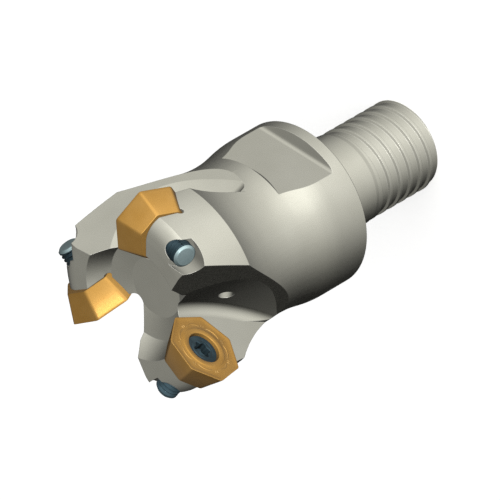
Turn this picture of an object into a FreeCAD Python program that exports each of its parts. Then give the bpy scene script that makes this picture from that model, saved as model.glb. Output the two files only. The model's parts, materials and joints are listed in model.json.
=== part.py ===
"""Face mill head with a threaded modular shank, three heptagonal inserts and their clamping screws.

The head is drawn hanging from its locating face at z = 0, with the shank on +Z, and each piece is
turned over about X as it is written. In the written frame +Z runs from the locating face to the
cutting end, the first insert sits at azimuth 0, and the cutter turns towards higher azimuths.
"""

import math
import os

import FreeCAD
import Part

Vector = FreeCAD.Vector
ORIGIN = Vector(0, 0, 0)
AXIS_X = Vector(1, 0, 0)
AXIS_Z = Vector(0, 0, 1)

# ---- body of revolution ------------------------------------------------------------------------
BODY_RADIUS = 14.5
BODY_CYLINDER_LENGTH = 8.5
NECK_RADIUS = 13.5
NECK_Z = -15.5
NECK_BLEND_RADIUS = 20.0
HEAD_RADIUS = 17.0
HEAD_BACK_Z = -28.0
HEAD_FRONT_Z = -37.0
HEAD_ROUND_RADIUS = 15.3
HEAD_ROUND_Z = -38.7
FACE_Z = -39.3
FACE_OUTER_RADIUS = 12.7
FACE_INNER_RADIUS = 10.5
DISH_WALL_RADIUS = 8.6
DISH_WALL_Z = -35.5
DISH_FLOOR_RADIUS = 5.2
DISH_FLOOR_Z = -34.0
BACK_EDGE_CHAMFER = 0.25

# ---- threaded shank ----------------------------------------------------------------------------
PILOT_RADIUS = 8.1
PILOT_LENGTH = 9.0
THREAD_RADIUS = 8.0
THREAD_PITCH = 2.4
THREAD_DEPTH = 0.35
THREAD_CREST = 0.55
THREAD_FLANK_ANGLE = 35.0
THREAD_START_Z = 9.9
THREAD_START_AZIMUTH = 90.0
SHANK_LENGTH = 24.2
SHANK_CHAMFER = 0.5

# ---- spanner flats -----------------------------------------------------------------------------
FLAT_ACROSS = 24.0
FLAT_AZIMUTH = -112.1
FLAT_BACK_Z = -2.4
FLAT_FRONT_Z = -14.2
FLAT_RUNOUT_Z = -11.6
FLAT_RUNOUT_RADIUS = 11.9
FLAT_RUNOUT_BULGE = 0.15
FLAT_FILLET = 0.7

# ---- inserts and the frame they sit in ---------------------------------------------------------
INSERT_COUNT = 3
INSERT_SIDES = 7
INSERT_CENTRE_RADIUS = 12.73
INSERT_CENTRE_Z = -34.7
AXIAL_RAKE = 16.0
RADIAL_RAKE = -3.7
INSERT_CLOCKING = -171.5
INSERT_CORNER_RADIUS = 6.72
INSERT_THICKNESS = 4.76
INSERT_CLEARANCE = 20.0
INSERT_NOSE_RADIUS = 0.8
INSERT_HOLE_RADIUS = 2.2
INSERT_SINK_RADIUS = 2.85
INSERT_SINK_DEPTH = 1.5
INSERT_LAND = 0.9
INSERT_BREAKER_DEPTH = 0.18
INSERT_BOSS_RADIUS = 3.9
POCKET_GAP = 0.03
RELIEF_GROOVE_RADIUS = 0.55

# ---- chip gullets ------------------------------------------------------------------------------
LAND_DROP = 0.3
GULLET_PATH_ANGLE = 24.3
GULLET_WALL_RADIUS = 42.0
GULLET_WALL_OFFSET = -9.0
GULLET_PATH_CENTRE = 5.6
GULLET_LEAN = 17.0
GULLET_FILLET = 1.6
GULLET_HEIGHT = 26.0
RELIEF_PLANE_AZIMUTH = 1.8
RELIEF_PLANE_TILT = -21.3
RELIEF_PLANE_DISTANCE = 18.5

# ---- clamping screws ---------------------------------------------------------------------------
SCREW_RADIUS = 2.0
SCREW_PITCH = 0.7
SCREW_THREAD_DEPTH = 0.43
SCREW_FLANK_ANGLE = 30.0
SCREW_HEAD_RADIUS = 2.75
SCREW_HEAD_SINK = 0.5
SCREW_NECK_END = 5.7
SCREW_END = 11.4
SCREW_END_CHAMFER = 0.35
SCREW_BORE_GAP = 0.05
SEAT_GAP = 0.02
SOCKET_DEPTH = 1.7
SOCKET_CORE_RADIUS = 1.18
SOCKET_LOBE_RADIUS = 0.36
SOCKET_LOBE_CENTRE = 1.27
SOCKET_LOBES = 6
SPOTFACE_RADIUS = 2.7
SPOTFACE_DEPTH = 9.5

# ---- coolant channels --------------------------------------------------------------------------
COOLANT_BORE_RADIUS = 3.0
COOLANT_BORE_END_Z = -17.0
COOLANT_BORE_SINK = 0.8
COOLANT_JET_RADIUS = 1.25
COOLANT_EXIT = Vector(7.85, -2.77, -26.5)
COOLANT_JET_LENGTH = 20.0

BIG = 60.0
TOLERANCE = 1e-6


def normal_of_rake():
    """Unit normal of the first insert's rake face, pointing the way the tooth travels."""
    el = math.radians(AXIAL_RAKE)
    az = math.radians(-90.0 - RADIAL_RAKE)
    return Vector(math.cos(el) * math.cos(az), math.cos(el) * math.sin(az), math.sin(el))


def seat_frame():
    """Matrix from local (a, b, h) to the body: a outwards, b towards the shank, h off the rake face."""
    n = normal_of_rake()
    a = Vector(-n.y, n.x, 0)
    a.normalize()
    b = n.cross(a)
    return FreeCAD.Matrix(
        a.x, b.x, n.x, INSERT_CENTRE_RADIUS,
        a.y, b.y, n.y, 0,
        a.z, b.z, n.z, INSERT_CENTRE_Z,
        0, 0, 0, 1,
    )


def placed(shape, matrix):
    moved = shape.copy()
    moved.Placement = FreeCAD.Placement(matrix).multiply(moved.Placement)
    return moved


def turned(shape, index):
    moved = shape.copy()
    moved.rotate(ORIGIN, AXIS_Z, index * 360.0 / INSERT_COUNT)
    return moved


def revolved(points):
    """Solid of revolution about Z of a closed outline given as (radius, z) pairs."""
    wire = Part.makePolygon([Vector(r, 0, z) for r, z in points + points[:1]])
    return Part.Face(wire).revolve(ORIGIN, AXIS_Z, 360)


def thread_turn(radius, pitch, depth, crest, flank_angle):
    """One turn of the helical groove of a right-hand thread about Z, starting at z = 0."""
    slope = math.tan(math.radians(flank_angle))
    over = 0.05 * pitch
    half_crest = (pitch - crest) / 2 + over * slope
    half_root = half_crest - (depth + over) * slope
    corners = [
        Vector(radius + over, 0, -half_crest),
        Vector(radius - depth, 0, -half_root),
        Vector(radius - depth, 0, half_root),
        Vector(radius + over, 0, half_crest),
    ]
    helix = Part.makeLongHelix(pitch, pitch, radius)
    sweep = Part.BRepOffsetAPI.MakePipeShell(Part.Wire(helix.Edges))
    sweep.setBiNormalMode(AXIS_Z)
    sweep.add(Part.makePolygon(corners + corners[:1]))
    sweep.build()
    sweep.makeSolid()
    return sweep.shape()


def threaded(rod, turn, pitch, z_start, z_end):
    """The rod with the groove cut into it turn by turn, from z_start to z_end or a little past it."""
    for i in range(math.ceil((z_end - z_start) / pitch)):
        groove = turn.copy()
        groove.translate(Vector(0, 0, z_start + i * pitch))
        rod = rod.cut(groove)
    return rod


# ---- body ---------------------------------------------------------------------------------------
def body_blank():
    neck_start = Vector(BODY_RADIUS, 0, -BODY_CYLINDER_LENGTH)
    neck_middle = Vector(NECK_RADIUS, 0, NECK_Z)
    head_start = Vector(HEAD_RADIUS, 0, HEAD_BACK_Z)
    outline = [
        Vector(0, 0, DISH_FLOOR_Z),
        Vector(0, 0, PILOT_LENGTH),
        Vector(PILOT_RADIUS, 0, PILOT_LENGTH),
        Vector(PILOT_RADIUS, 0, 0),
        Vector(BODY_RADIUS - BACK_EDGE_CHAMFER, 0, 0),
        Vector(BODY_RADIUS, 0, -BACK_EDGE_CHAMFER),
        neck_start,
    ]
    front = [
        head_start,
        Vector(HEAD_RADIUS, 0, HEAD_FRONT_Z),
    ]
    face = [
        Vector(FACE_OUTER_RADIUS, 0, FACE_Z),
        Vector(FACE_INNER_RADIUS, 0, FACE_Z),
        Vector(DISH_WALL_RADIUS, 0, DISH_WALL_Z),
        Vector(DISH_FLOOR_RADIUS, 0, DISH_FLOOR_Z),
        Vector(0, 0, DISH_FLOOR_Z),
    ]
    neck = Part.Arc(neck_start, neck_middle, head_start).toShape()
    corner = Part.Arc(front[-1], Vector(HEAD_ROUND_RADIUS, 0, HEAD_ROUND_Z), face[0]).toShape()
    edges = Part.makePolygon(outline).Edges + [neck] + Part.makePolygon(front).Edges
    edges += [corner] + Part.makePolygon(face).Edges
    blank = Part.Face(Part.Wire(edges)).revolve(ORIGIN, AXIS_Z, 360)
    shoulder = [
        edge for edge in blank.Edges
        if len(edge.Vertexes) == 1
        and abs(edge.Vertexes[0].Z + BODY_CYLINDER_LENGTH) < TOLERANCE
        and abs(edge.Vertexes[0].X - BODY_RADIUS) < TOLERANCE
    ]
    return blank.makeFillet(NECK_BLEND_RADIUS, shoulder)


def threaded_shank():
    """The shank behind the pilot, threaded while over long and then faced and chamfered."""
    over_long = SHANK_LENGTH + 2 * THREAD_PITCH
    rod = revolved([
        (0, PILOT_LENGTH),
        (PILOT_RADIUS, PILOT_LENGTH),
        (THREAD_RADIUS, PILOT_LENGTH + THREAD_DEPTH * 2),
        (THREAD_RADIUS, over_long),
        (0, over_long),
    ])
    turn = thread_turn(THREAD_RADIUS, THREAD_PITCH, THREAD_DEPTH, THREAD_CREST, THREAD_FLANK_ANGLE)
    turn.rotate(ORIGIN, AXIS_Z, THREAD_START_AZIMUTH)
    rod = threaded(rod, turn, THREAD_PITCH, THREAD_START_Z, SHANK_LENGTH + THREAD_PITCH)
    past = SHANK_CHAMFER
    facing_tool = revolved([
        (0, SHANK_LENGTH),
        (THREAD_RADIUS - SHANK_CHAMFER, SHANK_LENGTH),
        (THREAD_RADIUS + past, SHANK_LENGTH - SHANK_CHAMFER - past),
        (THREAD_RADIUS + past, over_long + past),
        (0, over_long + past),
    ])
    return rod.cut(facing_tool)


def spanner_flats():
    """Cutters of the two opposite spanner flats, with a filleted collar wall behind each."""
    reach = BODY_RADIUS * 2
    foot = Vector(FLAT_RUNOUT_RADIUS, 0, FLAT_RUNOUT_Z)
    rim = Vector(BODY_RADIUS, 0, FLAT_FRONT_Z)
    middle = (foot + rim) * 0.5 - Vector(FLAT_RUNOUT_BULGE, 0, 0)
    around = Part.makePolygon([
        rim,
        Vector(BODY_RADIUS, 0, FLAT_FRONT_Z * 2),
        Vector(0, 0, FLAT_FRONT_Z * 2),
        Vector(0, 0, FLAT_RUNOUT_Z),
        foot,
    ])
    outline = Part.Wire([Part.Arc(foot, middle, rim).toShape()] + around.Edges)
    run_out = Part.Face(outline).revolve(ORIGIN, AXIS_Z, 360)
    cutters = []
    for azimuth in (FLAT_AZIMUTH, FLAT_AZIMUTH + 180):
        block = Part.makeBox(
            BODY_RADIUS, 2 * reach, FLAT_BACK_Z - FLAT_FRONT_Z,
            Vector(FLAT_ACROSS / 2, -reach, FLAT_FRONT_Z),
        )
        corner = [
            edge for edge in block.Edges
            if all(
                abs(v.X - FLAT_ACROSS / 2) < TOLERANCE and abs(v.Z - FLAT_BACK_Z) < TOLERANCE
                for v in edge.Vertexes
            )
        ]
        block = block.makeFillet(FLAT_FILLET, corner)
        block.rotate(ORIGIN, AXIS_Z, azimuth)
        cutters.append(block.cut(run_out))
    return cutters


def gullet():
    """Chip gullet ahead of the first insert: a flat land, a filleted leaning wall, a relief plane."""
    turn = math.radians(GULLET_PATH_ANGLE)
    lean = math.radians(GULLET_LEAN)
    foot_radius = GULLET_WALL_RADIUS
    top_radius = foot_radius - GULLET_HEIGHT * math.tan(lean)
    floor = -LAND_DROP
    outline = Part.makePolygon([
        Vector(0, 0, floor),
        Vector(foot_radius, 0, floor),
        Vector(top_radius, 0, floor + GULLET_HEIGHT),
        Vector(0, 0, floor + GULLET_HEIGHT),
        Vector(0, 0, floor),
    ])
    scoop = Part.Face(outline).revolve(ORIGIN, AXIS_Z, 360)
    wall_foot = [
        edge for edge in scoop.Edges
        if len(edge.Vertexes) == 1 and abs(edge.Vertexes[0].Z - floor) < TOLERANCE
    ]
    scoop = scoop.makeFillet(GULLET_FILLET, wall_foot)
    centre = GULLET_WALL_OFFSET + GULLET_WALL_RADIUS
    scoop.translate(Vector(
        centre * math.cos(turn) + GULLET_PATH_CENTRE * math.sin(turn),
        GULLET_PATH_CENTRE * math.cos(turn) - centre * math.sin(turn),
        0,
    ))
    scoop = placed(scoop, seat_frame())

    land = Part.makeBox(BIG * 2, BIG * 2, BIG, Vector(-BIG, -BIG, -LAND_DROP))
    land = placed(land, seat_frame())
    beyond = Part.makeBox(BIG, BIG * 2, BIG * 2, Vector(RELIEF_PLANE_DISTANCE, -BIG, -BIG))
    beyond.rotate(ORIGIN, Vector(0, -1, 0), RELIEF_PLANE_TILT)
    beyond.rotate(ORIGIN, AXIS_Z, RELIEF_PLANE_AZIMUTH)
    return [scoop, beyond.common(land)]


def coolant_channels():
    bore = Part.makeCylinder(
        COOLANT_BORE_RADIUS, SHANK_LENGTH - COOLANT_BORE_END_Z, Vector(0, 0, COOLANT_BORE_END_Z)
    )
    drill_point = Part.makeCone(
        0, COOLANT_BORE_RADIUS, COOLANT_BORE_RADIUS / 2,
        Vector(0, 0, COOLANT_BORE_END_Z - COOLANT_BORE_RADIUS / 2),
    )
    sink = Part.makeCone(
        COOLANT_BORE_RADIUS, COOLANT_BORE_RADIUS + COOLANT_BORE_SINK, COOLANT_BORE_SINK,
        Vector(0, 0, SHANK_LENGTH - COOLANT_BORE_SINK),
    )
    start = Vector(0, 0, COOLANT_BORE_END_Z)
    jet = Part.makeCylinder(COOLANT_JET_RADIUS, COOLANT_JET_LENGTH, start, COOLANT_EXIT - start)
    jets = [turned(jet, i) for i in range(INSERT_COUNT)]
    return [bore, drill_point, sink] + jets


# ---- insert and its pocket ----------------------------------------------------------------------
def corner_points(radius, height):
    """Heptagon corners in the seat frame, starting with the innermost one."""
    step = -360.0 / INSERT_SIDES
    angles = [math.radians(INSERT_CLOCKING + step * i) for i in range(INSERT_SIDES)]
    return [Vector(radius * math.cos(t), radius * math.sin(t), height) for t in angles]


def flank_radius(drop):
    """Corner radius of the insert's outline at a depth below the rake face."""
    shrink = math.tan(math.radians(INSERT_CLEARANCE)) / math.cos(math.pi / INSERT_SIDES)
    return INSERT_CORNER_RADIUS - drop * shrink


def rounded_outline(radius, height, nose):
    corners = corner_points(radius, height)
    setback = nose * math.tan(math.pi / INSERT_SIDES)
    edges = []
    starts = []
    ends = []
    for i, corner in enumerate(corners):
        before = corners[i - 1]
        after = corners[(i + 1) % INSERT_SIDES]
        to_before = (before - corner).normalize()
        to_after = (after - corner).normalize()
        centre = corner + (to_before + to_after).normalize() * (nose / math.cos(math.pi / INSERT_SIDES))
        middle = centre + (corner - centre).normalize() * nose
        starts.append(corner + to_before * setback)
        ends.append(corner + to_after * setback)
        edges.append(Part.Arc(starts[i], middle, ends[i]).toShape())
    for i in range(INSERT_SIDES):
        edges.append(Part.makeLine(ends[i], starts[(i + 1) % INSERT_SIDES]))
    return Part.Wire(Part.__sortEdges__(edges))


def heptagon_frustum(gap, top, bottom, nose):
    top_wire = rounded_outline(flank_radius(-top) + gap, top, nose)
    bottom_wire = rounded_outline(flank_radius(-bottom) + gap, bottom, nose)
    return Part.makeLoft([bottom_wire, top_wire], True, True)


def make_insert():
    blank = heptagon_frustum(0, 0, -INSERT_THICKNESS, INSERT_NOSE_RADIUS)
    bore = Part.makeCylinder(INSERT_HOLE_RADIUS, 3 * INSERT_THICKNESS, Vector(0, 0, -2 * INSERT_THICKNESS))
    sink = Part.makeCone(
        INSERT_HOLE_RADIUS, INSERT_SINK_RADIUS, INSERT_SINK_DEPTH,
        Vector(0, 0, -INSERT_SINK_DEPTH - SCREW_HEAD_SINK),
    )
    mouth = Part.makeCylinder(INSERT_SINK_RADIUS, 1, Vector(0, 0, -SCREW_HEAD_SINK))
    outer = rounded_outline(INSERT_CORNER_RADIUS - INSERT_LAND / 3, 0, INSERT_NOSE_RADIUS)
    inner = rounded_outline(INSERT_CORNER_RADIUS - INSERT_LAND, -INSERT_BREAKER_DEPTH, INSERT_NOSE_RADIUS)
    breaker = Part.makeLoft([inner, outer], True, True)
    boss = Part.makeCylinder(INSERT_BOSS_RADIUS, 1, Vector(0, 0, -INSERT_BREAKER_DEPTH))
    breaker = breaker.cut(boss)
    return blank.cut(breaker).cut(bore).cut(sink).cut(mouth)


def pocket():
    """Nest for the first insert, with a relief groove along the foot of its walls."""
    nest = heptagon_frustum(POCKET_GAP, LAND_DROP * 2, -INSERT_THICKNESS, INSERT_NOSE_RADIUS / 2)
    room = Part.Face(rounded_outline(INSERT_CORNER_RADIUS + POCKET_GAP * 4, -LAND_DROP, INSERT_NOSE_RADIUS))
    room = room.extrude(Vector(0, 0, INSERT_THICKNESS))
    feet = corner_points(flank_radius(INSERT_THICKNESS), -INSERT_THICKNESS + RELIEF_GROOVE_RADIUS / 2)
    pieces = [nest, room]
    for i in range(3):
        along = feet[i + 1] - feet[i]
        pieces.append(Part.makeCylinder(RELIEF_GROOVE_RADIUS, along.Length, feet[i], along))
    for foot in feet[:4]:
        pieces.append(Part.makeSphere(RELIEF_GROOVE_RADIUS, foot))
    return pieces


# ---- screw --------------------------------------------------------------------------------------
def make_screw():
    head_top = -SCREW_HEAD_SINK - SEAT_GAP
    cone = (SCREW_HEAD_RADIUS - SCREW_RADIUS) * INSERT_SINK_DEPTH / (INSERT_SINK_RADIUS - INSERT_HOLE_RADIUS)
    over_long = -SCREW_END - 2 * SCREW_PITCH
    profile = revolved([
        (0, head_top),
        (SCREW_HEAD_RADIUS, head_top),
        (SCREW_RADIUS, head_top - cone),
        (SCREW_RADIUS, over_long),
        (0, over_long),
    ])
    turn = thread_turn(SCREW_RADIUS, SCREW_PITCH, SCREW_THREAD_DEPTH, SCREW_PITCH / 8, SCREW_FLANK_ANGLE)
    first = math.ceil((SCREW_END - SCREW_NECK_END) / SCREW_PITCH) + 1
    start = -SCREW_NECK_END - first * SCREW_PITCH
    profile = threaded(profile, turn, SCREW_PITCH, start, -SCREW_NECK_END)
    past = SCREW_END_CHAMFER
    facing_tool = revolved([
        (0, -SCREW_END),
        (SCREW_RADIUS - SCREW_END_CHAMFER, -SCREW_END),
        (SCREW_RADIUS + past, SCREW_END_CHAMFER + past - SCREW_END),
        (SCREW_RADIUS + past, over_long - past),
        (0, over_long - past),
    ])
    socket = Part.makeCylinder(SOCKET_CORE_RADIUS, SOCKET_DEPTH, Vector(0, 0, head_top - SOCKET_DEPTH))
    for i in range(SOCKET_LOBES):
        angle = 2 * math.pi * i / SOCKET_LOBES
        centre = Vector(
            SOCKET_LOBE_CENTRE * math.cos(angle), SOCKET_LOBE_CENTRE * math.sin(angle), head_top - SOCKET_DEPTH
        )
        socket = socket.fuse(Part.makeCylinder(SOCKET_LOBE_RADIUS, SOCKET_DEPTH, centre))
    return profile.cut(facing_tool).cut(socket)


def screw_bore():
    """Tapped hole, drawn as a plain bore just clear of the thread, and the spot face at its exit."""
    radius = SCREW_RADIUS + SCREW_BORE_GAP
    bore = Part.makeCylinder(radius, BIG / 2, Vector(0, 0, -BIG / 2))
    spot = Part.makeCylinder(SPOTFACE_RADIUS, BIG / 4, Vector(0, 0, -SPOTFACE_DEPTH - BIG / 4))
    return [bore, spot]


def make_body():
    body = body_blank()
    shank = threaded_shank()
    station = gullet() + [placed(piece, seat_frame()) for piece in pocket() + screw_bore()]
    cutters = spanner_flats()
    for i in range(INSERT_COUNT):
        cutters += [turned(piece, i) for piece in station]
    for cutter in cutters:
        body = body.cut(cutter)
    for channel in coolant_channels():
        body = body.cut(channel)
        shank = shank.cut(channel)
    return body.fuse(shank)


def export(shape, name):
    solids = shape.Solids
    if len(solids) != 1:
        raise ValueError(f"{name} has {len(solids)} solids")
    solid = solids[0].copy()
    solid.rotate(ORIGIN, AXIS_X, 180)
    solid.exportStep(os.path.join("parts", name + ".step"))
    print(name, "valid", solid.isValid(), "volume", round(solid.Volume, 1))


def main():
    os.makedirs("parts", exist_ok=True)
    export(make_body(), "cutter_body")
    insert = placed(make_insert(), seat_frame())
    screw = placed(make_screw(), seat_frame())
    for i in range(INSERT_COUNT):
        export(turned(insert, -i), f"insert_{i + 1}")
        export(turned(screw, -i), f"insert_screw_{i + 1}")


main()
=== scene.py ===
import json
import math

import bmesh
import bpy
from mathutils import Matrix, Vector


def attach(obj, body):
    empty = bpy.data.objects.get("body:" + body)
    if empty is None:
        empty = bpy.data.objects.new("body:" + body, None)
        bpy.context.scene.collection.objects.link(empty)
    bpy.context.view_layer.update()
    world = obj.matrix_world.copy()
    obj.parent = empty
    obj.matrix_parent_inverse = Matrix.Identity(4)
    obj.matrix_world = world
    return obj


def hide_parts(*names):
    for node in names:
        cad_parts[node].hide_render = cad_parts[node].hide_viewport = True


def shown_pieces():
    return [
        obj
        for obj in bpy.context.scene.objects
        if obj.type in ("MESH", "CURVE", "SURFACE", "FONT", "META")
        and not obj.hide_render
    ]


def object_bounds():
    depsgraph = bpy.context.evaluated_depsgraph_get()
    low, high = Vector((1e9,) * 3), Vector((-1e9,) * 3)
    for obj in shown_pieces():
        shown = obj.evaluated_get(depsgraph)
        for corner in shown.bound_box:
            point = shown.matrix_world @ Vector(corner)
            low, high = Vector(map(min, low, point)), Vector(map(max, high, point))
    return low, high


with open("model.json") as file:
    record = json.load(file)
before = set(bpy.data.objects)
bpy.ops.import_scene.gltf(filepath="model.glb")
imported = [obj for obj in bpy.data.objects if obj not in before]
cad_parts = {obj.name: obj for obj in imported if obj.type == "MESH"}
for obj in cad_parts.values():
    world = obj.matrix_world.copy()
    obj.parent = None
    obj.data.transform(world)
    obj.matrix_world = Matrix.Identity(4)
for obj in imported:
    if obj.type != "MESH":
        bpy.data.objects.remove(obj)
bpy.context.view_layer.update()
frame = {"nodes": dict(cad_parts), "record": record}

MM = 0.001
scene = bpy.context.scene


# ---- node materials -----------------------------------------------------------------------------
def new_material(name):
    """Node material that holds only a Principled shader, linked to its output."""
    material = bpy.data.materials.new(name)
    material.use_nodes = True
    tree = material.node_tree
    tree.nodes.clear()
    output = tree.nodes.new("ShaderNodeOutputMaterial")
    shader = tree.nodes.new("ShaderNodeBsdfPrincipled")
    tree.links.new(shader.outputs["BSDF"], output.inputs["Surface"])
    return material, tree, shader


def noise(tree, scale, detail, roughness=0.5):
    """Noise fixed to the object, as a value."""
    coords = tree.nodes.new("ShaderNodeTexCoord")
    texture = tree.nodes.new("ShaderNodeTexNoise")
    texture.inputs["Scale"].default_value = scale
    texture.inputs["Detail"].default_value = detail
    texture.inputs["Roughness"].default_value = roughness
    tree.links.new(coords.outputs["Object"], texture.inputs["Vector"])
    return texture.outputs["Fac"]


def ramp(tree, source, stops):
    """Ramp over a value. Each stop is a position and an RGB colour, or one number for a grey."""
    node = tree.nodes.new("ShaderNodeValToRGB")
    elements = node.color_ramp.elements
    while len(elements) < len(stops):
        elements.new(0.5)
    for element, (position, tone) in zip(elements, stops):
        colour = tone if isinstance(tone, tuple) else (tone, tone, tone)
        element.position = position
        element.color = (*colour, 1)
    tree.links.new(source, node.inputs["Fac"])
    return node.outputs["Color"]


def bump(tree, shader, height, strength, distance, normal):
    """Bump on top of a normal, linked to the shader."""
    node = tree.nodes.new("ShaderNodeBump")
    node.inputs["Strength"].default_value = strength
    node.inputs["Distance"].default_value = distance
    tree.links.new(height, node.inputs["Height"])
    tree.links.new(normal, node.inputs["Normal"])
    tree.links.new(node.outputs["Normal"], shader.inputs["Normal"])


EDGE_SAMPLES = 6
EDGE_COSINE = 0.86      # between the bevelled and the true normal, where an edge gets the full lighter edge colour: rubbed coating and a painted highlight together
FACE_COSINE = 0.995     # and from where the surface is an open face


def edge_mask(tree, radius):
    """Bevelled normal, and a factor that is 1 along sharp edges and 0 on open faces."""
    edge = tree.nodes.new("ShaderNodeBevel")
    edge.inputs["Radius"].default_value = radius
    edge.samples = EDGE_SAMPLES
    geometry = tree.nodes.new("ShaderNodeNewGeometry")
    along = tree.nodes.new("ShaderNodeVectorMath")
    along.operation = "DOT_PRODUCT"
    tree.links.new(edge.outputs["Normal"], along.inputs[0])
    tree.links.new(geometry.outputs["Normal"], along.inputs[1])
    factor = ramp(tree, along.outputs["Value"], [(EDGE_COSINE, 1.0), (FACE_COSINE, 0.0)])
    return edge.outputs["Normal"], factor


def rubbed_and_highlight_over(tree, factor, under, rubbed_and_highlight):
    """A constant lighter colour laid over a coating's colour where the factor is high: rubbed coating, and
    also a painted highlight along the edges.
    """
    node = tree.nodes.new("ShaderNodeMix")
    node.data_type = "RGBA"
    tree.links.new(factor, node.inputs["Factor"])
    tree.links.new(under, node.inputs[6])
    node.inputs[7].default_value = (*rubbed_and_highlight, 1)
    return node.outputs[2]


GRAIN_STRENGTH = 0.02
GRAIN_HEIGHT = 0.004 * MM
PATCHES_PER_CLOUD = 6


def metal(name, dark, light, rubbed_and_highlight, metallic, rough, cloud_scale, grain_scale, edge_radius):
    """Coated metal with cloudy tone, fine grain and lighter edges in patches. The lighter edges are rubbed
    coating and also a painted highlight.
    """
    material, tree, shader = new_material(name)
    cloud = noise(tree, cloud_scale, 4)
    coating = ramp(tree, cloud, [(0.3, dark), (0.7, light)])
    normal, edges = edge_mask(tree, edge_radius)
    patches = ramp(tree, noise(tree, cloud_scale * PATCHES_PER_CLOUD, 3), [(0.35, 0.3), (0.6, 0.85)])
    # edge factor times patches: where the lighter edge colour is laid, as rubbed coating and as a painted
    # highlight
    rub_and_highlight = tree.nodes.new("ShaderNodeMath")
    rub_and_highlight.operation = "MULTIPLY"
    tree.links.new(edges, rub_and_highlight.inputs[0])
    tree.links.new(patches, rub_and_highlight.inputs[1])
    colour = rubbed_and_highlight_over(tree, rub_and_highlight.outputs["Value"], coating, rubbed_and_highlight)
    tree.links.new(colour, shader.inputs["Base Color"])
    shader.inputs["Metallic"].default_value = metallic
    grain = noise(tree, grain_scale, 3, 0.6)
    smooth, coarse = rough
    roughness = ramp(tree, grain, [(0.3, smooth), (0.7, coarse)])
    tree.links.new(roughness, shader.inputs["Roughness"])
    bump(tree, shader, grain, GRAIN_STRENGTH, GRAIN_HEIGHT, normal)
    return material


# The fourth colour of each metal is lighter than its coating. It marks rubbed edges, and it is also a painted
# highlight on those edges.
STEEL = metal(
    "nickel_steel", dark=(0.57, 0.56, 0.475), light=(0.65, 0.64, 0.55), rubbed_and_highlight=(0.84, 0.83, 0.77),
    metallic=1.0, rough=(0.25, 0.32), cloud_scale=90, grain_scale=2600, edge_radius=0.12 * MM)
GOLD = metal(
    "gold_coating", dark=(0.54, 0.285, 0.06), light=(0.62, 0.345, 0.09), rubbed_and_highlight=(0.80, 0.58, 0.28),
    metallic=0.85, rough=(0.24, 0.34), cloud_scale=260, grain_scale=5200, edge_radius=0.06 * MM)
DARK = metal(
    "blued_screw_steel", dark=(0.025, 0.045, 0.055), light=(0.06, 0.10, 0.12), rubbed_and_highlight=(0.13, 0.19, 0.21),
    metallic=0.95, rough=(0.22, 0.32), cloud_scale=500, grain_scale=5200, edge_radius=0.05 * MM)
PALE = metal(
    "ground_screw_end", dark=(0.40, 0.53, 0.54), light=(0.48, 0.62, 0.63), rubbed_and_highlight=(0.6, 0.7, 0.72),
    metallic=0.95, rough=(0.3, 0.4), cloud_scale=500, grain_scale=5200, edge_radius=0.05 * MM)


def paint(obj, material):
    """One material in every slot of an object."""
    for slot in obj.material_slots:
        slot.material = material
    if not obj.material_slots:
        obj.data.materials.append(material)


for node_object in frame["nodes"].values():
    paint(node_object, STEEL)


# ---- meshes of the inserts and screws -----------------------------------------------------------
# Lengths are in millimetres and angles in radians, unless converted. Height 0 is the insert's rake
# face, and the screw's axis is the z axis.
WELD_DISTANCE = 1e-8    # in metres, as the meshes are


def grid_faces(bm, rows):
    """Quads between rows of vertices of equal length, each row a closed ring."""
    for lower, upper in zip(rows, rows[1:]):
        count = len(lower)
        for k in range(count):
            after = (k + 1) % count
            bm.faces.new((lower[k], lower[after], upper[after], upper[k]))


def capped_tube(bm, rows):
    """Quads between closed rings of vertices, with a face on the first ring and on the last."""
    grid_faces(bm, rows)
    bm.faces.new(rows[0])
    bm.faces.new(rows[-1])


SIDES = 7
SIDE_STEPS = 5
CORNER_STEPS = 6
CLOCKING = math.radians(-171.5)
CORNER_RADIUS = 6.70
THICKNESS = 4.75
NOSE = 0.8
FLANK_SHRINK = math.tan(math.radians(20.0)) / math.cos(math.pi / SIDES)
HONE = 0.05
LOWER_CHAMFER = 0.12
HOLE_RADIUS = 2.22
SINK_RADIUS = 2.86


def heptagon(radius, nose, height):
    """Ring of points of the insert's outline: straight sides and rounded corners."""
    half = math.pi / SIDES
    inset = radius - nose / math.cos(half)
    points = []
    for i in range(SIDES):
        middle = CLOCKING + i * 2 * math.pi / SIDES
        centre = Vector((inset * math.cos(middle), inset * math.sin(middle), height))
        for k in range(CORNER_STEPS + 1):
            angle = middle - half + 2 * half * k / CORNER_STEPS
            points.append(centre + Vector((nose * math.cos(angle), nose * math.sin(angle), 0)))
        here = points[-1]
        after = middle + 2 * half
        centre = Vector((inset * math.cos(after), inset * math.sin(after), height))
        there = centre + Vector((nose * math.cos(after - half), nose * math.sin(after - half), 0))
        for k in range(1, SIDE_STEPS):
            points.append(here.lerp(there, k / SIDE_STEPS))
    return points


def circle(radius, height, like):
    """Ring of points on a circle, one at the bearing of each point of the ring it joins."""
    rise = Vector((0, 0, height))
    return [Vector((radius * p.x, radius * p.y, 0)) / math.hypot(p.x, p.y) + rise for p in like]


MARK_SPACING = 0.09
MARK_RADIUS = 4.75


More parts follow.
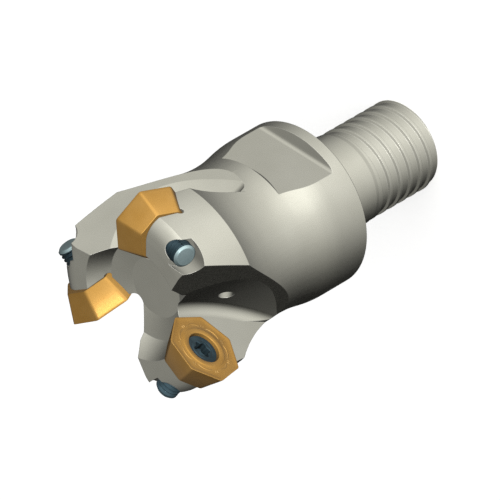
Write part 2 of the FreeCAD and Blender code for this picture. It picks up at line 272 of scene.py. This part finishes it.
def insert_mesh():
    """Heptagonal insert: honed edges, land, chip-breaker valley, raised boss and countersunk hole."""
    bottom = CORNER_RADIUS - THICKNESS * FLANK_SHRINK
    base = heptagon(CORNER_RADIUS, NOSE, 0)
    rings = [
        # underside
        circle(HOLE_RADIUS, -THICKNESS, base),
        circle(2.5, -THICKNESS, base),
        heptagon(bottom - LOWER_CHAMFER, NOSE, -THICKNESS),
        # flank, up to the honed cutting edge
        heptagon(bottom, NOSE, -THICKNESS + 0.1),
        heptagon(CORNER_RADIUS - 0.45 * FLANK_SHRINK, NOSE, -0.45),
        heptagon(CORNER_RADIUS - HONE * FLANK_SHRINK, NOSE, -HONE),
        heptagon(CORNER_RADIUS - HONE * 0.5, NOSE, -HONE * 0.25),
        # land, then the chip-breaker valley
        heptagon(CORNER_RADIUS - HONE * 1.4, NOSE, -0.002),
        heptagon(CORNER_RADIUS - 0.30, NOSE, -0.002),
        heptagon(CORNER_RADIUS - 0.42, NOSE, -0.025),
        heptagon(CORNER_RADIUS - 0.78, NOSE, -0.085),
        heptagon(CORNER_RADIUS - 1.05, NOSE * 1.2, -0.095),
        heptagon(CORNER_RADIUS - 1.4, NOSE * 1.6, -0.09),
        # boss
        circle(3.96, -0.085, base),
        circle(3.9, -0.06, base),
        circle(3.84, -0.025, base),
        circle(3.76, -0.004, base),
        circle(2.98, -0.004, base),
        # countersunk hole
        circle(2.9, -0.05, base),
        circle(SINK_RADIUS, -0.13, base),
        circle(SINK_RADIUS, -0.5, base),
        circle(HOLE_RADIUS, -1.98, base),
        circle(HOLE_RADIUS, -THICKNESS, base),
    ]
    bm = bmesh.new()
    rows = [[bm.verts.new(p * MM) for p in points] for points in rings]
    grid_faces(bm, rows)
    bmesh.ops.remove_doubles(bm, verts=bm.verts, dist=WELD_DISTANCE)
    for i in range(SIDES):
        middle = CLOCKING + i * 2 * math.pi / SIDES
        crescent(bm, middle + math.pi / SIDES)
        for k in range(2):
            pip(bm, middle + (k - 0.5) * MARK_SPACING)
    return bm


RIB_STEPS = 12
RIB_SPAN = 0.62
RIB_RADIUS = 4.42
RIB_BOW = 0.22
RIB_FOOT = -0.09
RIB_PROFILE = ((-0.15, -0.02), (-0.08, 0.06), (0.0, 0.08), (0.08, 0.06), (0.15, -0.02))


def crescent(bm, bearing):
    """Raised curved rib of the chip breaker along one side, thickest in the middle."""
    rows = []
    for k in range(RIB_STEPS + 1):
        part = k / RIB_STEPS - 0.5
        bow = 1 - 4 * part * part
        swell = math.sqrt(bow)
        angle = bearing + part * RIB_SPAN
        centre = RIB_RADIUS + RIB_BOW * bow
        row = []
        for across, rise in RIB_PROFILE:
            r = centre + across * (0.25 + 0.75 * swell)
            height = RIB_FOOT + rise * (0.3 + 0.7 * swell)
            row.append(bm.verts.new(Vector((r * math.cos(angle), r * math.sin(angle), height)) * MM))
        rows.append(row)
    capped_tube(bm, rows)


MARK_LENGTH = 0.26
MARK_WIDTH = 0.07
MARK_AROUND = 10
MARK_PROFILE = ((1.0, -0.12), (0.9, -0.05), (0.6, -0.02), (0.2, -0.015))


def pip(bm, bearing):
    """Small raised index mark near a corner."""
    out = Vector((math.cos(bearing), math.sin(bearing), 0))
    side = Vector((-out.y, out.x, 0))
    centre = out * MARK_RADIUS
    rows = []
    for size, height in MARK_PROFILE:
        row = []
        for k in range(MARK_AROUND):
            turn = 2 * math.pi * k / MARK_AROUND
            along = out * (MARK_LENGTH * size * math.cos(turn))
            across = side * (MARK_WIDTH * size * math.sin(turn))
            row.append(bm.verts.new((centre + along + across + Vector((0, 0, height))) * MM))
        rows.append(row)
    capped_tube(bm, rows)


AROUND = 72
LOBES = 6
HEAD_TOP = -0.53
HEAD_RADIUS = 2.74
SCREW_RADIUS = 1.99
THREAD_START = -5.7
THREAD_PITCH = 0.7
THREAD_DEPTH = 0.42
THREAD_PROFILE = ((0.0, 0.0), (0.06, 0.0), (0.45, 1.0), (0.55, 1.0), (0.94, 0.0))
SCREW_END = -11.39
CHAMFER_TOP = SCREW_END + 0.4
PALE_END = 0.3


def lobed(radius, swing, height):
    """Ring of the six-lobe socket."""
    points = []
    for k in range(AROUND):
        angle = 2 * math.pi * k / AROUND
        r = radius + swing * math.cos(LOBES * angle)
        points.append(Vector((r * math.cos(angle), r * math.sin(angle), height)))
    return points


def ring(radius, height):
    """Round ring."""
    return lobed(radius, 0, height)


def thread_rows():
    """Rows of points that follow the helix, clamped to the threaded length and faded in at its start."""
    turns = math.ceil((THREAD_START - SCREW_END) / THREAD_PITCH) + 1
    rows = []
    for turn in range(turns):
        for share, deep in THREAD_PROFILE:
            row = []
            for k in range(AROUND):
                angle = 2 * math.pi * k / AROUND
                z = THREAD_START + THREAD_PITCH * (k / AROUND - turn - share)
                fade = min(max((THREAD_START - z) / THREAD_PITCH, 0.0), 1.0)
                r = SCREW_RADIUS - THREAD_DEPTH * deep * fade
                z = min(max(z, CHAMFER_TOP), THREAD_START)
                row.append(Vector((r * math.cos(angle), r * math.sin(angle), z)))
            rows.append(row)
    return rows


def screw_mesh():
    """Countersunk screw with a six-lobe socket, plain neck, helical thread and chamfered end."""
    rings = [
        # socket
        ring(0.25, HEAD_TOP - 1.68),
        lobed(1.15, 0.12, HEAD_TOP - 1.5),
        lobed(1.33, 0.2, HEAD_TOP - 1.45),
        lobed(1.33, 0.2, HEAD_TOP - 0.16),
        lobed(1.38, 0.19, HEAD_TOP - 0.05),
        lobed(1.52, 0.1, HEAD_TOP),
        # head, with a fine turned groove in its top
        ring(1.85, HEAD_TOP),
        ring(1.92, HEAD_TOP - 0.05),
        ring(2.0, HEAD_TOP),
        ring(2.62, HEAD_TOP),
        ring(2.71, HEAD_TOP - 0.04),
        ring(HEAD_RADIUS, HEAD_TOP - 0.12),
        # countersink and neck
        ring(2.1, HEAD_TOP - 1.6),
        ring(SCREW_RADIUS, HEAD_TOP - 1.9),
        ring(SCREW_RADIUS, -3.4),
        ring(SCREW_RADIUS, THREAD_START + 0.01),
    ] + thread_rows() + [
        # chamfered end
        ring(SCREW_RADIUS - 0.05, SCREW_END + 0.38),
        ring(SCREW_RADIUS - 0.33, SCREW_END + 0.06),
        ring(SCREW_RADIUS - 0.4, SCREW_END + 0.01),
        ring(SCREW_RADIUS - 0.5, SCREW_END),
        ring(0.3, SCREW_END),
    ]
    bm = bmesh.new()
    capped_tube(bm, [[bm.verts.new(p * MM) for p in points] for points in rings])
    pale_below = (SCREW_END + PALE_END) * MM
    for face in bm.faces:
        if face.calc_center_median().z < pale_below:
            face.material_index = 1
    bmesh.ops.remove_doubles(bm, verts=bm.verts, dist=WELD_DISTANCE)
    return bm


def finish_piece(bm, name, materials, seat, sharp):
    """Object from a mesh, smooth but for edges sharper than an angle, moved to its seat."""
    bmesh.ops.recalc_face_normals(bm, faces=bm.faces)
    mesh = bpy.data.meshes.new(name)
    bm.to_mesh(mesh)
    bm.free()
    for polygon in mesh.polygons:
        polygon.use_smooth = True
    mesh.set_sharp_from_angle(angle=math.radians(sharp))
    mesh.transform(seat)
    for material in materials:
        mesh.materials.append(material)
    piece = bpy.data.objects.new(name, mesh)
    scene.collection.objects.link(piece)
    return piece


INSERT_SHARP = 35
SCREW_SHARP = 40
joints = {joint["name"]: joint for joint in frame["record"]["behaviour"]["joints"]}
for number in (1, 2, 3):
    hinge = joints[f"insert_screw_{number}_turn"]
    normal = Vector(hinge["axis"]).normalized()
    outward = Vector((normal.y, -normal.x, 0)).normalized()
    shankward = normal.cross(outward)
    seat = Matrix((outward, shankward, normal)).transposed().to_4x4()
    seat.translation = Vector(hinge["pos_m"])
    insert = finish_piece(insert_mesh(), f"detailed_insert_{number}", [GOLD], seat, INSERT_SHARP)
    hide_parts(f"insert_{number}")
    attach(insert, f"insert_{number}")
    screw = finish_piece(screw_mesh(), f"detailed_screw_{number}", [DARK, PALE], seat, SCREW_SHARP)
    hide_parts(f"insert_screw_{number}")
    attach(screw, f"insert_screw_{number}")

# the picture shows the open studio in every face, and no face mirrored in another
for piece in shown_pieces():
    piece.visible_glossy = False

# ---- floor --------------------------------------------------------------------------------------
FLOOR_SIZE = 8.0
FLOOR_GAP = 0.02 * MM
low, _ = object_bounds()
bpy.ops.mesh.primitive_plane_add(size=FLOOR_SIZE, location=(0, 0, low[2] - FLOOR_GAP))
floor = bpy.context.object
floor.name = "floor"
floor_material, _, floor_shader = new_material("pale_floor")
floor_shader.inputs["Base Color"].default_value = (0.9, 0.9, 0.9, 1)
floor_shader.inputs["Roughness"].default_value = 0.8
floor_shader.inputs["Specular IOR Level"].default_value = 0.1
floor_shader.inputs["Emission Color"].default_value = (1, 1, 1, 1)
floor_shader.inputs["Emission Strength"].default_value = 0.55
paint(floor, floor_material)
floor.visible_glossy = False
floor.visible_diffuse = False

# ---- studio -------------------------------------------------------------------------------------
# the axes of the photo's camera in the shared frame
PHOTO_RIGHT = Vector((0.6424, 0.3324, -0.6905))
PHOTO_UP = Vector((-0.7229, 0.5620, -0.4020))
PHOTO_BACK = Vector((0.2544, 0.7574, 0.6013))

KEY_DIRECTION = (PHOTO_BACK * 0.79 + PHOTO_RIGHT * 0.33 + PHOTO_UP * 0.52).normalized()
FILL_DIRECTION = -(PHOTO_RIGHT * 0.70 + PHOTO_UP * 0.60 + PHOTO_BACK * 0.35).normalized()
STUDIO_STRENGTH = 1.6

world = bpy.data.worlds.new("studio")
scene.world = world
world.use_nodes = True
studio = world.node_tree
background = studio.nodes["Background"]
studio_coords = studio.nodes.new("ShaderNodeTexCoord")


def sky_lobe(direction, stops):
    """Brightness of the studio around a direction. A stop at 1 lies towards it, and one at 0 away from it."""
    dot = studio.nodes.new("ShaderNodeVectorMath")
    dot.operation = "DOT_PRODUCT"
    dot.inputs[1].default_value = direction
    studio.links.new(studio_coords.outputs["Generated"], dot.inputs[0])
    half = studio.nodes.new("ShaderNodeMath")
    half.operation = "MULTIPLY_ADD"
    half.inputs[1].default_value = 0.5
    half.inputs[2].default_value = 0.5
    studio.links.new(dot.outputs["Value"], half.inputs[0])
    return ramp(studio, half.outputs["Value"], stops)


key_sky = sky_lobe(KEY_DIRECTION, [
    (0.0, 0.0), (0.12, 0.01), (0.28, 0.09), (0.5, 0.27), (0.72, 0.48), (0.88, 0.66), (0.95, 1.0),
])
fill_sky = sky_lobe(FILL_DIRECTION, [(0.76, 0.0), (0.88, 0.07), (0.95, 0.17), (1.0, 0.2)])
both = studio.nodes.new("ShaderNodeVectorMath")
both.operation = "ADD"
studio.links.new(key_sky, both.inputs[0])
studio.links.new(fill_sky, both.inputs[1])
studio.links.new(both.outputs["Vector"], background.inputs["Color"])
background.inputs["Strength"].default_value = STUDIO_STRENGTH

LAMP_TARGET = Vector((0, 0, 0.01))
LAMP_DISTANCE = 1.7
lamp_direction = (PHOTO_BACK - PHOTO_UP * 0.05).normalized()
lamp_data = bpy.data.lights.new("beside_camera", "AREA")
lamp_data.shape = "DISK"
lamp_data.size = 0.5
lamp_data.energy = 2.4
lamp = bpy.data.objects.new("beside_camera", lamp_data)
scene.collection.objects.link(lamp)
lamp.location = LAMP_TARGET + lamp_direction * LAMP_DISTANCE
lamp.rotation_mode = "QUATERNION"
lamp.rotation_quaternion = lamp_direction.to_track_quat("Z", "Y")

# ---- camera -------------------------------------------------------------------------------------
CAMERA_PLACE = Vector((0.3181, 0.9396, 0.7606))
camera_data = bpy.data.cameras.new("camera")
camera = bpy.data.objects.new("camera", camera_data)
scene.collection.objects.link(camera)
camera_data.sensor_width = 36.0
camera_data.lens = 555.0
camera_data.clip_start = 0.05
camera_data.clip_end = 20
camera_matrix = Matrix((PHOTO_RIGHT, PHOTO_UP, PHOTO_BACK)).transposed().to_4x4()
camera_matrix.translation = CAMERA_PLACE
camera.matrix_world = camera_matrix
scene.camera = camera
scene.view_settings.view_transform = "Standard"
